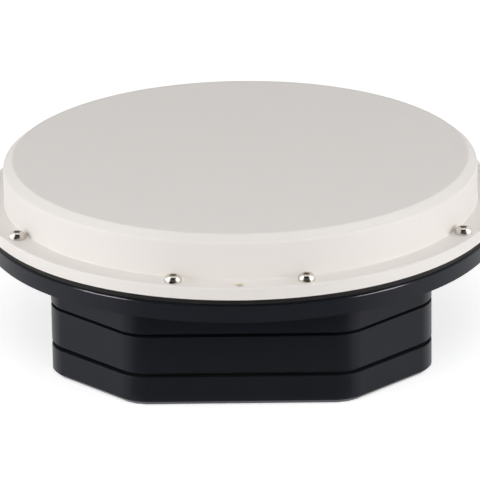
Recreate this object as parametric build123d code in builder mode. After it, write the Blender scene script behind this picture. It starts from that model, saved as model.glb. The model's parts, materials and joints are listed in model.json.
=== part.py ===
# Flat marine radar antenna: a round radome on an octagonal three-layer housing.
# Millimetres, +Z up, origin at the centre of the underside. The front faces -Y, the sockets +Y.
from build123d import *
from math import cos, radians, sin, sqrt
import os

# ---------------------------------------------------------------- driving sizes
# Octagonal housing: a square with its corners cut off at 45 degrees, then rounded.
across_flats = 265.0
corner_cut = 58.0
corner_r = 26.0
inner_corner_r = 3.0
wall = 10.0
groove_depth = 4.5       # how far the dark seals lie back from the housing face
edge_break = 0.7         # small chamfer on every layer edge
foot_bevel = 3.0         # larger chamfer around the underside

# Layers of the housing, from the underside up.
bottom_h = 21.0
lower_seal_t = 3.0
middle_h = 26.6
upper_seal_t = 2.0
upper_h = 26.9
floor_t = 6.0            # floor of the bottom cover
web_t = 4.0              # heat web that closes the top of the middle frame

# Radome: every other round piece is stepped in from its flange.
radome_r = 182.5
flange_w = 16.0
flange_t = 8.6
dome_h = 30.8            # from the flange to the top face
bevel_w = 6.4
bevel_h = 5.0
dome_wall = 6.5
dome_top_t = 5.0
soft_edge_r = 0.8

# Gasket and base disc.
gasket_step = 1.3        # the gasket lies back under the flange
gasket_t = 3.6
disc_step = 1.9          # so does the rim of the disc
disc_rim_h = 12.0
disc_edge = 1.0
land_step = 1.5          # the land makes the shadow gap between the rim and the gasket
land_h = 1.6
pocket_step = 3.0        # from the inside of the dome to the pocket of the antenna stack
pocket_floor_t = 11.0

# Radome screws: M6 pan heads. The front pair stands closer, on each side of the index hole.
screw_inset = 8.5        # from the edge of the flange
screw_count = 8
front_pair_angle = 30.0
screw_l = 22.0
thread_r = 3.0
head_r = 6.0
head_h = 4.6
head_rim_h = 1.0
head_top_r = 3.6
star_outer_r = 2.8       # six-lobe drive
star_inner_r = 2.0
star_depth = 2.6

# Index hole: blind, with a shallow mouth. It marks the front on the circle of the screws.
index_bore_r = 2.3
index_mouth_r = 5.0
index_mouth_angle = 136.0
index_depth = 5.0

# Housing bolts: M8 socket heads behind the cut corners, let into the underside.
bolt_inset = 14.0        # from the corner face
bolt_r = 4.0
bolt_boss_r = 10.0
bolt_head_r = 6.5
bolt_head_h = 8.0
bolt_sink = 9.0
bolt_key = 6.0
bolt_key_depth = 4.0
bolt_grip = 9.0

# M8 threaded inserts for the mount in the underside.
insert_spacing_x = 160.0
insert_spacing_y = 120.0
insert_bore_r = 4.0
insert_r = 5.5
insert_depth = 14.0
insert_boss_r = 11.0
insert_boss_h = 17.0

# Antenna stack under the radome: a carrier plate on spacers, held down by M4 screws.
carrier_gap = 10.0       # from the inside of the dome
carrier_t = 4.0
spacer_count = 4
spacer_angle = 45.0      # of the first spacer, from X
spacer_inset = 10.0      # from the edge of the carrier
spacer_af = 9.0
spacer_h = 30.0
spacer_screw_r = 2.0
spacer_screw_af = 7.0
spacer_screw_head_h = 2.8
spacer_grip = 8.0
array_gap = 24.0
array_clear = 1.5        # from the screw heads and from the edge of the carrier
patch_side = 12.0
patch_pitch = 25.0
patch_t = 0.4

# Radio module: a screening tray clamped under the carrier, with its board on a ledge.
shield_w = 150.0
shield_d = 100.0
shield_wall = 2.0
ledge_w = 3.0
ledge_h = 20.0           # from the underside of the tray
radio_chip_side = 14.0
radio_chip_pitch = 80.0
radio_chip_y = 20.0
driver_side = 9.0
driver_count = 4
driver_pitch = 36.0
driver_y = -24.0
feed_r = 1.5
feed_inset = 6.0         # from the inner edge of each array board

# Boards in the housing.
board_t = 1.6
board_corner_r = 3.0
chip_h = 2.0
logic_w = 150.0
logic_d = 130.0
logic_stand = 9.0
supply_d = 110.0
supply_stand = 8.0
supply_clear = 4.0       # from the bosses of the mount inserts
stand_af = 7.0
stand_inset = 6.0
board_screw_r = 1.5      # M3
board_screw_af = 5.5
board_screw_head_h = 2.0
board_grip = 3.0
processor_side = 38.0
sink_side = 50.0
sink_base_t = 3.0
fin_h = 11.0
fin_t = 1.4
fin_count = 9
memory_w = 14.0
memory_d = 10.0
memory_count = 4
memory_pitch = 30.0
memory_gap = 8.0         # from the heat sink
module_w = 58.0
module_d = 37.0
module_h = 12.7
module_gap = 10.0
module_y = 22.0
capacitor_r = 8.0
capacitor_h = 20.0
capacitor_count = 2
capacitor_pitch = 60.0
capacitor_y = -20.0
header_d = 8.0
header_h = 6.0
header_gap = 9.0         # from the heat sink to the upper ribbon's header
lead_header_w = 12.0
lead_header_h = 12.0
ribbon_w = 34.0
ribbon_t = 1.2
ribbon_slot_w = 12.0

# Rear sockets, earth stud and vent plug.
socket_spacing = 50.0
socket_seal_t = 1.5
socket_flange_r = 12.0
socket_flange_t = 4.0
socket_sleeve_r = 9.0
socket_sleeve_l = 12.0
socket_cup_r = 7.2
socket_cup_depth = 8.0
socket_tail_r = 8.0
socket_tail_in = 7.0     # thread that stands into the housing
locknut_af = 20.0
locknut_t = 4.0
lead_r = 4.0
earth_x = -45.0
earth_root_r = 4.0
earth_root_l = 8.0
earth_collar_af = 13.0
earth_collar_t = 5.0
earth_r = 3.0
earth_l = 12.0
vent_r = 3.0
vent_af = 17.0
vent_flange_t = 4.0
vent_cap_r = 7.0
vent_cap_h = 3.0
vent_slot_w = 2.0

# Clearances: a hole around a screw, a thread in its tapped hole, a piece in its seat.
screw_gap = 0.3
thread_gap = 0.05
seat_gap = 0.1

# ---------------------------------------------------------------- levels
lower_seal_z = bottom_h
middle_z = lower_seal_z + lower_seal_t
upper_seal_z = middle_z + middle_h
web_z = upper_seal_z - web_t
upper_z = upper_seal_z + upper_seal_t
disc_z = upper_z + upper_h
land_z = disc_z + disc_rim_h
gasket_z = land_z + land_h
flange_z = gasket_z + gasket_t
dome_z = flange_z + flange_t
top_z = dome_z + dome_h
pocket_z = disc_z + pocket_floor_t
carrier_z = pocket_z + spacer_h
array_z = carrier_z + carrier_t
radio_z = pocket_z + ledge_h
logic_z = upper_seal_z + logic_stand
supply_z = floor_t + supply_stand
socket_z = upper_z + upper_h / 2
service_z = middle_z + (middle_h - web_t) / 2

# ---------------------------------------------------------------- radii and places
dome_r = radome_r - flange_w
cavity_r = dome_r - dome_wall
gasket_r = radome_r - gasket_step
disc_r = radome_r - disc_step
land_r = disc_r - land_step
pocket_r = cavity_r - pocket_step
screw_circle_r = radome_r - screw_inset
screw_grip = screw_l - flange_t - gasket_t
bolt_circle_r = (across_flats - corner_cut) / sqrt(2) - bolt_inset
carrier_r = cavity_r - carrier_gap
spacer_circle_r = carrier_r - spacer_inset

# The array boards lie between the gap in the middle and the spacers on each side.
array_outer_x = spacer_circle_r * cos(radians(spacer_angle)) - spacer_screw_af / 2 - array_clear
array_w = array_outer_x - array_gap / 2
array_x = array_gap / 2 + array_w / 2
array_l = 2 * sqrt((carrier_r - array_clear) ** 2 - array_outer_x ** 2)
patch_columns = int(array_w // patch_pitch)
patch_rows = int(array_l // patch_pitch)

supply_w = insert_spacing_x - 2 * (insert_boss_r + supply_clear)
lower_ribbon_y = header_d - supply_d / 2
upper_ribbon_y = -(sink_side / 2 + header_gap + header_d / 2)
memory_y = sink_side / 2 + memory_gap + memory_d / 2
lead_header_y = logic_d / 2 - header_d

rear_y = across_flats / 2
socket_tail_l = wall + socket_tail_in + socket_seal_t
socket_tail_out = socket_seal_t - socket_tail_l
socket_sleeve_out = socket_seal_t + socket_flange_t
insulator_l = socket_tail_l + socket_flange_t + socket_sleeve_l - socket_cup_depth


def on_circle(radius, angles):
    """Points on a circle about the origin at the given angles in degrees."""
    return [(radius * cos(radians(a)), radius * sin(radians(a))) for a in angles]


def corners(width, depth):
    """The four corner points of a rectangle about the origin."""
    return [(sx * width / 2, sy * depth / 2) for sx in (-1, 1) for sy in (-1, 1)]


def row(count, pitch, y):
    """Points in a row along X, centred on the origin."""
    return [((k - (count - 1) / 2) * pitch, y) for k in range(count)]


bolt_locs = on_circle(bolt_circle_r, [45, 135, 225, 315])
insert_locs = corners(insert_spacing_x, insert_spacing_y)
screw_step = (360 - front_pair_angle) / (screw_count - 1)
screw_locs = on_circle(screw_circle_r, [-90 + front_pair_angle / 2 + k * screw_step
                                        for k in range(screw_count)])
spacer_locs = on_circle(spacer_circle_r, [spacer_angle + k * 360 / spacer_count
                                          for k in range(spacer_count)])
logic_locs = corners(logic_w - 2 * stand_inset, logic_d - 2 * stand_inset)
supply_locs = corners(supply_w - 2 * stand_inset, supply_d - 2 * stand_inset)
feed_locs = row(2, array_gap + 2 * feed_inset, 0)
socket_xs = (-socket_spacing / 2, socket_spacing / 2)


# ---------------------------------------------------------------- shared shapes
def finish(piece, name):
    """Label a finished sub-part and write it as its own STEP file."""
    piece.part.label = name
    export_step(piece.part, f"parts/{name}.step")


def octagon(inset=0.0):
    """Rounded octagon of the housing, moved in from its outer face, in the sketch being drawn."""
    Rectangle(across_flats - 2 * inset, across_flats - 2 * inset)
    # Moving a 45 degree cut inwards shortens it by (2 - sqrt 2) of the inset.
    chamfer(vertices(), corner_cut - (2 - sqrt(2)) * inset)
    fillet(vertices(), max(corner_r - inset, inner_corner_r))


def cavity():
    """Inside of the housing, with the bosses of the housing bolts left standing."""
    octagon(wall)
    with Locations(*bolt_locs):
        Circle(bolt_boss_r, mode=Mode.SUBTRACT)


def housing_layer(z, height, inset=0.0):
    """One hollow layer of the housing: outer wall, cavity and clearance holes for the bolts."""
    with BuildSketch(Plane.XY.offset(z)) as outline:
        octagon(inset)
    extrude(outline.sketch, amount=height)
    if not inset:
        chamfer(faces().filter_by(Axis.Z).edges(), edge_break)
    with BuildSketch(Plane.XY.offset(z)) as outline:
        cavity()
        with Locations(*bolt_locs):
            Circle(bolt_r + screw_gap)
    extrude(outline.sketch, amount=height, mode=Mode.SUBTRACT)


def rounds(z, height, radius, locs, mode=Mode.ADD):
    """Upright round pieces or holes that start at z, one at each place."""
    with BuildSketch(Plane.XY.offset(z)) as outline:
        with Locations(*locs):
            Circle(radius)
    extrude(outline.sketch, amount=height, mode=mode)


def hexes(z, height, across, locs, bore=0.0, mode=Mode.ADD):
    """Upright hexagonal pieces or recesses that start at z, hollow if bore is given."""
    with BuildSketch(Plane.XY.offset(z)) as outline:
        with Locations(*locs):
            RegularPolygon(across / 2, 6, major_radius=False)
            if bore:
                Circle(bore, mode=Mode.SUBTRACT)
    extrude(outline.sketch, amount=height, mode=mode)


def blocks(z, height, width, depth, locs=((0, 0),), mode=Mode.ADD):
    """Upright rectangular pieces or pockets that start at z, one at each place."""
    with BuildSketch(Plane.XY.offset(z)) as outline:
        with Locations(*locs):
            Rectangle(width, depth)
    extrude(outline.sketch, amount=height, mode=mode)


def ribbon_slot(z, height, y):
    """Slot that lets a ribbon cable through a plate."""
    with BuildSketch(Plane.XY.offset(z)) as outline:
        with Locations((0, y)):
            SlotOverall(ribbon_w + ribbon_slot_w, ribbon_slot_w)
    extrude(outline.sketch, amount=height, mode=Mode.SUBTRACT)


def screwed_board(z, width, depth, hole_locs):
    """Circuit board lying at z, with clearance holes for its screws."""
    with BuildSketch(Plane.XY.offset(z)) as outline:
        Rectangle(width, depth)
        fillet(vertices(), board_corner_r)
        with Locations(*hole_locs):
            Circle(board_screw_r + screw_gap, mode=Mode.SUBTRACT)
    extrude(outline.sketch, amount=board_t)


def hex_screws(seat_z, locs, length, shank_r, head_af, head_height):
    """Plain hexagon-head screws whose heads sit on seat_z."""
    rounds(seat_z - length, length, shank_r, locs)
    hexes(seat_z, head_height, head_af, locs)


def rear_plane(x, z, out=0.0):
    """Plane on the rear face of the housing, with its normal pointing out of the housing."""
    return Plane(origin=(x, rear_y + out, z), x_dir=(-1, 0, 0), z_dir=(0, 1, 0))


def rear_rounds(xs, z, out, length, radius, bore=0.0, mode=Mode.ADD):
    """Round steps on the rear face that start at out and run outwards, hollow if bore is given."""
    for x in xs:
        with BuildSketch(rear_plane(x, z, out)) as outline:
            Circle(radius)
            if bore:
                Circle(bore, mode=Mode.SUBTRACT)
        extrude(outline.sketch, amount=length, mode=mode)


def rear_hexes(xs, z, out, length, across, bore=0.0):
    """Hexagonal nuts or flanges on the rear face."""
    for x in xs:
        with BuildSketch(rear_plane(x, z, out)) as outline:
            RegularPolygon(across / 2, 6, major_radius=False)
            if bore:
                Circle(bore, mode=Mode.SUBTRACT)
        extrude(outline.sketch, amount=length)


os.makedirs("parts", exist_ok=True)

# ================================================================ housing layers
# Bottom cover: a tray with a bevelled foot, bolt bosses and bosses for the mount inserts.
with BuildPart() as bottom_cover:
    with BuildSketch():
        octagon()
    extrude(amount=bottom_h)
    chamfer(faces().sort_by(Axis.Z)[0].edges(), foot_bevel)
    chamfer(faces().sort_by(Axis.Z)[-1].edges(), edge_break)
    with BuildSketch(Plane.XY.offset(floor_t)):
        cavity()
    extrude(amount=bottom_h - floor_t, mode=Mode.SUBTRACT)
    rounds(floor_t, insert_boss_h - floor_t, insert_boss_r, insert_locs)
    rounds(0, insert_depth, insert_r + thread_gap, insert_locs, Mode.SUBTRACT)
    rounds(floor_t - board_grip, board_grip, board_screw_r + thread_gap, supply_locs, Mode.SUBTRACT)
    rounds(0, bottom_h, bolt_r + screw_gap, bolt_locs, Mode.SUBTRACT)
    rounds(0, bolt_sink, bolt_head_r + screw_gap, bolt_locs, Mode.SUBTRACT)
finish(bottom_cover, "bottom_cover")

with BuildPart() as mount_inserts:
    rounds(0, insert_depth, insert_r, insert_locs)
    rounds(0, insert_depth, insert_bore_r, insert_locs, Mode.SUBTRACT)
finish(mount_inserts, "mount_inserts")

# The seals fill the grooves between the layers and lie back from their faces.
with BuildPart() as lower_seal:
    housing_layer(lower_seal_z, lower_seal_t, groove_depth)
finish(lower_seal, "lower_seal")

with BuildPart() as upper_seal:
    housing_layer(upper_seal_z, upper_seal_t, groove_depth)
finish(upper_seal, "upper_seal")

# Middle frame: its web carries the processor board; earth stud and vent plug sit in its rear wall.
with BuildPart() as middle_frame:
    housing_layer(middle_z, middle_h)
    with BuildSketch(Plane.XY.offset(web_z)):
        cavity()
    extrude(amount=web_t)
    ribbon_slot(web_z, web_t, lower_ribbon_y)
    rounds(upper_seal_z - board_grip, board_grip, board_screw_r + thread_gap, logic_locs, Mode.SUBTRACT)
    rear_rounds([earth_x], service_z, -earth_root_l, earth_root_l, earth_root_r + thread_gap,
                mode=Mode.SUBTRACT)
    rear_rounds([0], service_z, -wall, wall, vent_r + thread_gap, mode=Mode.SUBTRACT)
finish(middle_frame, "middle_frame")

with BuildPart() as upper_frame:
    housing_layer(upper_z, upper_h)
    rear_rounds(socket_xs, socket_z, -wall, wall, socket_tail_r + seat_gap, mode=Mode.SUBTRACT)
finish(upper_frame, "upper_frame")

# Base disc: the rim, the raised land under the gasket and the pocket of the antenna stack.
with BuildPart() as base_disc:
    rounds(disc_z, disc_rim_h, disc_r, [(0, 0)])
    chamfer(faces().sort_by(Axis.Z)[-1].edges(), disc_edge)
    rounds(land_z, land_h, land_r, [(0, 0)])
    rounds(pocket_z, gasket_z - pocket_z, pocket_r, [(0, 0)], Mode.SUBTRACT)
    ribbon_slot(disc_z, pocket_floor_t, upper_ribbon_y)
    rounds(gasket_z - screw_grip, screw_grip, thread_r + thread_gap, screw_locs, Mode.SUBTRACT)
    rounds(disc_z, bolt_grip, bolt_r + thread_gap, bolt_locs, Mode.SUBTRACT)
    rounds(pocket_z - spacer_grip, spacer_grip, spacer_screw_r + thread_gap, spacer_locs, Mode.SUBTRACT)
finish(base_disc, "base_disc")

# Housing bolts: one length clamps all three layers and both seals to the base disc.
with BuildPart() as housing_bolts:
    rounds(bolt_sink, disc_z + bolt_grip - bolt_sink, bolt_r, bolt_locs)
    rounds(bolt_sink - bolt_head_h, bolt_head_h, bolt_head_r, bolt_locs)
    hexes(bolt_sink - bolt_head_h, bolt_key_depth, bolt_key, bolt_locs, mode=Mode.SUBTRACT)
finish(housing_bolts, "housing_bolts")

# ================================================================ radome
with BuildPart() as radome_gasket:
    with BuildSketch(Plane.XY.offset(gasket_z)):
        Circle(gasket_r)
        Circle(cavity_r, mode=Mode.SUBTRACT)
        with Locations(*screw_locs):
            Circle(thread_r + screw_gap, mode=Mode.SUBTRACT)
    extrude(amount=gasket_t)
finish(radome_gasket, "radome_gasket")

# The radome is turned from one profile; its flange takes the screws and the index hole.
with BuildPart() as radome:
    with BuildSketch(Plane.XZ):
        with BuildLine():
            Polyline(
                (0, top_z),
                (dome_r - bevel_w, top_z),
                (dome_r, top_z - bevel_h),
                (dome_r, dome_z),
                (radome_r, dome_z),
                (radome_r, flange_z),
                (0, flange_z),
                close=True,
            )
        make_face()
        outer_corners = vertices().filter_by(lambda v: v.X > 0 and v.Z > flange_z + flange_t / 2)
        fillet(outer_corners, soft_edge_r)
        with Locations((0, flange_z)):
            Rectangle(cavity_r, top_z - dome_top_t - flange_z, align=(Align.MIN, Align.MIN),
                      mode=Mode.SUBTRACT)
    revolve(axis=Axis.Z)
    rounds(flange_z, flange_t, thread_r + screw_gap, screw_locs, Mode.SUBTRACT)
    with Locations((0, -screw_circle_r, dome_z)):
        CounterSinkHole(index_bore_r, index_mouth_r, index_depth, index_mouth_angle)
finish(radome, "radome")

# One pan-head screw, standing with its head on the flange, copied to every place.
with BuildPart() as one_screw:
    with BuildSketch(Plane.XZ):
        with BuildLine():
            Polyline((0, head_h), (0, -screw_l), (thread_r, -screw_l), (thread_r, 0), (head_r, 0),
                     (head_r, head_rim_h))
            TangentArc((head_r, head_rim_h), (head_top_r, head_h), tangent=(0, 1))
            Line((head_top_r, head_h), (0, head_h))
        make_face()
    revolve(axis=Axis.Z)
    star_points = [point for k in range(6) for point in (*on_circle(star_outer_r, [60 * k]),
                                                         *on_circle(star_inner_r, [60 * k + 30]))]
    with BuildSketch(Plane.XY.offset(head_h)):
        with BuildLine():
            Polyline(*star_points, close=True)
        make_face()
    extrude(amount=-star_depth, mode=Mode.SUBTRACT)

with BuildPart() as radome_screws:
    with Locations(*[(x, y, dome_z) for x, y in screw_locs]):
        add(one_screw.part)
finish(radome_screws, "radome_screws")

# ================================================================ antenna stack
with BuildPart() as carrier_spacers:
    hexes(pocket_z, spacer_h, spacer_af, spacer_locs, spacer_screw_r + screw_gap)
finish(carrier_spacers, "carrier_spacers")

with BuildPart() as antenna_carrier:
    rounds(carrier_z, carrier_t, carrier_r, [(0, 0)])
    rounds(carrier_z, carrier_t, spacer_screw_r + screw_gap, spacer_locs, Mode.SUBTRACT)
    rounds(carrier_z, carrier_t, feed_r + screw_gap, feed_locs, Mode.SUBTRACT)
finish(antenna_carrier, "antenna_carrier")

with BuildPart() as carrier_screws:
    hex_screws(array_z, spacer_locs, carrier_t + spacer_h + spacer_grip, spacer_screw_r, spacer_screw_af,
               spacer_screw_head_h)
finish(carrier_screws, "carrier_screws")

# Two array boards side by side, one that sends and one that listens, each with its patches.
for side, role in ((-1, "transmit"), (1, "receive")):
    with BuildPart() as array_board:
        blocks(array_z, board_t, array_w, array_l, [(side * array_x, 0)])
    finish(array_board, f"{role}_board")
    with BuildPart() as patches:
        with BuildSketch(Plane.XY.offset(array_z + board_t)):
            with Locations((side * array_x, 0)):
                with GridLocations(patch_pitch, patch_pitch, patch_columns, patch_rows):
                    Rectangle(patch_side, patch_side)
        extrude(amount=patch_t)
    finish(patches, f"{role}_patches")

# Screening tray from the disc to the carrier: a deep pocket under a ledge for the radio board.
with BuildPart() as radio_shield:
    blocks(pocket_z, spacer_h, shield_w, shield_d)
    blocks(radio_z, spacer_h - ledge_h, shield_w - 2 * shield_wall, shield_d - 2 * shield_wall,
           mode=Mode.SUBTRACT)
    blocks(pocket_z + shield_wall, ledge_h - shield_wall, shield_w - 2 * (shield_wall + ledge_w),
           shield_d - 2 * (shield_wall + ledge_w), mode=Mode.SUBTRACT)
    ribbon_slot(pocket_z, shield_wall, upper_ribbon_y)
finish(radio_shield, "radio_shield")

with BuildPart() as radio_board:
    blocks(radio_z, board_t, shield_w - 2 * (shield_wall + seat_gap),
           shield_d - 2 * (shield_wall + seat_gap))
finish(radio_board, "radio_board")

with BuildPart() as radio_chips:
    blocks(radio_z + board_t, chip_h, radio_chip_side, radio_chip_side,
           row(2, radio_chip_pitch, radio_chip_y))
    blocks(radio_z + board_t, chip_h, driver_side, driver_side, row(driver_count, driver_pitch, driver_y))
finish(radio_chips, "radio_chips")

with BuildPart() as feed_pins:
    rounds(radio_z + board_t, array_z - radio_z - board_t, feed_r, feed_locs)
finish(feed_pins, "feed_pins")

# ================================================================ boards in the housing
with BuildPart() as board_spacers:
    hexes(upper_seal_z, logic_stand, stand_af, logic_locs, board_screw_r + screw_gap)
    hexes(floor_t, supply_stand, stand_af, supply_locs, board_screw_r + screw_gap)
finish(board_spacers, "board_spacers")

with BuildPart() as board_screws:
    for board_z, stand, locs in ((logic_z, logic_stand, logic_locs), (supply_z, supply_stand, supply_locs)):
        hex_screws(board_z + board_t, locs, board_t + stand + board_grip, board_screw_r, board_screw_af,
                   board_screw_head_h)
finish(board_screws, "board_screws")

with BuildPart() as processor_board:
    screwed_board(logic_z, logic_w, logic_d, logic_locs)
finish(processor_board, "processor_board")

with BuildPart() as processor_chips:
    blocks(logic_z + board_t, chip_h, processor_side, processor_side)
    blocks(logic_z + board_t, chip_h, memory_w, memory_d, row(memory_count, memory_pitch, memory_y))
finish(processor_chips, "processor_chips")

with BuildPart() as processor_heatsink:
    sink_z = logic_z + board_t + chip_h
    blocks(sink_z, sink_base_t, sink_side, sink_side)
    blocks(sink_z + sink_base_t, fin_h, fin_t, sink_side,
           row(fin_count, (sink_side - fin_t) / (fin_count - 1), 0))
finish(processor_heatsink, "processor_heatsink")

with BuildPart() as power_board:
    screwed_board(supply_z, supply_w, supply_d, supply_locs)
finish(power_board, "power_board")

with BuildPart() as power_modules:
    blocks(supply_z + board_t, module_h, module_w, module_d, row(2, module_w + module_gap, module_y))
finish(power_modules, "power_modules")

with BuildPart() as power_capacitors:
    rounds(supply_z + board_t, capacitor_h, capacitor_r, row(capacitor_count, capacitor_pitch, capacitor_y))
finish(power_capacitors, "power_capacitors")

# Headers: one for each ribbon, and one behind each rear socket.
with BuildPart() as board_headers:
    blocks(supply_z + board_t, header_h, ribbon_w, header_d, [(0, lower_ribbon_y)])
    blocks(logic_z + board_t, header_h, ribbon_w, header_d, [(0, upper_ribbon_y)])
    blocks(logic_z + board_t, lead_header_h, lead_header_w, header_d,
           [(x, lead_header_y) for x in socket_xs])
finish(board_headers, "board_headers")

with BuildPart() as ribbon_cables:
    lower_start = supply_z + board_t + header_h
    blocks(lower_start, logic_z - lower_start, ribbon_w, ribbon_t, [(0, lower_ribbon_y)])
    upper_start = logic_z + board_t + header_h
    blocks(upper_start, radio_z - upper_start, ribbon_w, ribbon_t, [(0, upper_ribbon_y)])
finish(ribbon_cables, "ribbon_cables")

# ================================================================ rear sockets
with BuildPart() as socket_seals:
    rear_rounds(socket_xs, socket_z, 0, socket_seal_t, socket_flange_r, socket_tail_r + seat_gap)
finish(socket_seals, "socket_seals")

with BuildPart() as socket_nuts:
    rear_hexes(socket_xs, socket_z, -wall - locknut_t, locknut_t, locknut_af, socket_tail_r + thread_gap)
finish(socket_nuts, "socket_nuts")

# Each socket is a turned shell around an insulator; the cup in front of it takes the plug.
for x, role in zip(socket_xs, ("power", "data")):
    with BuildPart() as shell:
        rear_rounds([x], socket_z, socket_tail_out, socket_tail_l, socket_tail_r)
        rear_rounds([x], socket_z, socket_seal_t, socket_flange_t, socket_flange_r)
        rear_rounds([x], socket_z, socket_sleeve_out, socket_sleeve_l, socket_sleeve_r)
        chamfer(edges().filter_by(GeomType.CIRCLE).sort_by(Axis.Y)[-1], edge_break)
        rear_rounds([x], socket_z, socket_tail_out, insulator_l + socket_cup_depth, socket_cup_r,
                    mode=Mode.SUBTRACT)
    finish(shell, f"{role}_socket_shell")
    with BuildPart() as insulator:
        rear_rounds([x], socket_z, socket_tail_out, insulator_l, socket_cup_r - thread_gap)
    finish(insulator, f"{role}_socket_insulator")

with BuildPart() as socket_leads:
    lead_l = rear_y + socket_tail_out - lead_header_y - header_d / 2
    rear_rounds(socket_xs, socket_z, socket_tail_out - lead_l, lead_l, lead_r)
finish(socket_leads, "socket_leads")

# ================================================================ earth stud and vent plug
with BuildPart() as earth_stud:
    rear_rounds([earth_x], service_z, -earth_root_l, earth_root_l, earth_root_r)
    rear_hexes([earth_x], service_z, 0, earth_collar_t, earth_collar_af)
    rear_rounds([earth_x], service_z, earth_collar_t, earth_l, earth_r)
finish(earth_stud, "earth_stud")

with BuildPart() as vent_plug:
    rear_rounds([0], service_z, -wall, wall, vent_r)
    rear_hexes([0], service_z, 0, vent_flange_t, vent_af)
    rear_rounds([0], service_z, vent_flange_t, vent_cap_h, vent_cap_r)
    with BuildSketch(rear_plane(0, service_z, vent_flange_t + vent_cap_h / 2)):
        Rectangle(2 * vent_cap_r, vent_slot_w)
        Rectangle(vent_slot_w, 2 * vent_cap_r)
    extrude(amount=vent_cap_h, mode=Mode.SUBTRACT)
finish(vent_plug, "vent_plug")
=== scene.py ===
# %% [markdown]
# # A flat radar antenna for a ship's mast
# The object is a round white radome, screwed down over a rubber gasket onto a black disc, which
# stands on an octagonal black housing of three stacked layers. The measured model comes from the
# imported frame. This lesson rebuilds each piece that shows as a fine mesh over its measured twin,
# and gives every other piece a finish. Each new piece is modelled as by hand: a primitive is placed
# at its real size, then extruded, inset and bevelled in edit mode.

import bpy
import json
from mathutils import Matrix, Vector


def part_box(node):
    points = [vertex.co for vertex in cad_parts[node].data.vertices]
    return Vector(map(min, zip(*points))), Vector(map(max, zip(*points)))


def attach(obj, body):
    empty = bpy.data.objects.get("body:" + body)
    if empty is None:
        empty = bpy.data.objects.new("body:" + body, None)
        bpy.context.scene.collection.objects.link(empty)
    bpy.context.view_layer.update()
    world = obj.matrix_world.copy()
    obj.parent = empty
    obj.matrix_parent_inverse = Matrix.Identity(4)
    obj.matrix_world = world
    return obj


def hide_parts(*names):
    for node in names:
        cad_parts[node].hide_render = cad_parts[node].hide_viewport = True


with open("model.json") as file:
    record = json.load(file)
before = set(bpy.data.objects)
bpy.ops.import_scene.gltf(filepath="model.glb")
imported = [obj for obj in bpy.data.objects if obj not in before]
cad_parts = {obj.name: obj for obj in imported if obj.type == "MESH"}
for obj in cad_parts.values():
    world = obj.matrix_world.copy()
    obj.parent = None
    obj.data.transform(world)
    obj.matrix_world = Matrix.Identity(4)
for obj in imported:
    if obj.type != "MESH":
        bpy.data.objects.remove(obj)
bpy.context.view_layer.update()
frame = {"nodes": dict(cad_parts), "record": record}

# %% [markdown]
# Blender works in metres, but a drawing of such an object is in millimetres. One factor turns the
# drawing's sizes into Blender's. All sizes below are real sizes in millimetres, and all heights
# come from the boxes of the measured pieces.

# %% Units and measured places
import json
from math import atan2, cos, degrees, hypot, pi, radians, sin, sqrt

import bmesh
import bpy
from mathutils import Matrix, Vector

MM = 0.001


def levels(node):
    """Lowest and highest level of a measured piece, in millimetres."""
    low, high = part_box(node)
    return low.z / MM, high.z / MM


def half_width(node):
    """How far a measured piece reaches from the axis, in millimetres."""
    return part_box(node)[1].x / MM


print("radome, mm: levels", levels("radome"), "radius", half_width("radome"))

# %% [markdown]
# Edit mode works on whatever is selected, so every step first selects by place. A reader who models
# by hand would click on a ring of edges; here a small test on the position does the same.

# %% Selecting
def take(*pieces):
    """Select only these objects, or none. The first one becomes the active one."""
    bpy.ops.object.select_all(action="DESELECT")
    for piece in pieces:
        piece.select_set(True)
    if pieces:
        bpy.context.view_layer.objects.active = pieces[0]


def edit(piece):
    """Open one piece in edit mode."""
    take(piece)
    bpy.ops.object.mode_set(mode="EDIT")


def pick(kind, test):
    """In edit mode, select only the vertices, edges or faces for which the test is true."""
    bpy.ops.mesh.select_mode(type=kind)
    bpy.ops.mesh.select_all(action="DESELECT")
    mesh = bmesh.from_edit_mesh(bpy.context.edit_object.data)
    elements = {"VERT": mesh.verts, "EDGE": mesh.edges, "FACE": mesh.faces}[kind]
    for element in [element for element in elements if test(element)]:
        element.select_set(True)
    mesh.select_flush_mode()
    bmesh.update_edit_mesh(bpy.context.edit_object.data)


# %% [markdown]
# A few steps come back for every piece: write a new primitive's place into its mesh, pull a
# selection up, bevel it, and turn the faces outwards at the end.

# %% Shaping
def settle(name):
    """Name the new primitive and write its place and size into its mesh."""
    piece = bpy.context.object
    piece.name = name
    bpy.ops.object.transform_apply(location=True, rotation=False, scale=True)
    return piece


def pull_up(height):
    """Extrude the selection straight up, in millimetres."""
    bpy.ops.mesh.extrude_region_move(TRANSFORM_OT_translate={"value": (0, 0, height * MM)})


def bevel(width, segments):
    """Bevel the selected edges, in millimetres."""
    bpy.ops.mesh.bevel(offset=width * MM, offset_type="OFFSET", segments=segments, affect="EDGES")


def close_up():
    """Turn all faces outwards and leave edit mode."""
    bpy.ops.mesh.select_all(action="SELECT")
    bpy.ops.mesh.normals_make_consistent(inside=False)
    bpy.ops.object.mode_set(mode="OBJECT")


# %% [markdown]
# A turned piece is made of rings. A ring of edges is known by its radius and its height, so that
# pair is the test that picks it.

# %% Rings
def near(a, b, tolerance=0.02 * MM):
    """True where two lengths agree."""
    return abs(a - b) < tolerance


def on_rings(rings):
    """Test for edges that lie on one of the (radius, height) rings, in millimetres."""
    def on_ring(vertex, radius, height):
        return near(hypot(vertex.co.x, vertex.co.y), radius * MM) and near(vertex.co.z, height * MM)
    return lambda edge: any(all(on_ring(vertex, *ring) for vertex in edge.verts) for ring in rings)


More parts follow.
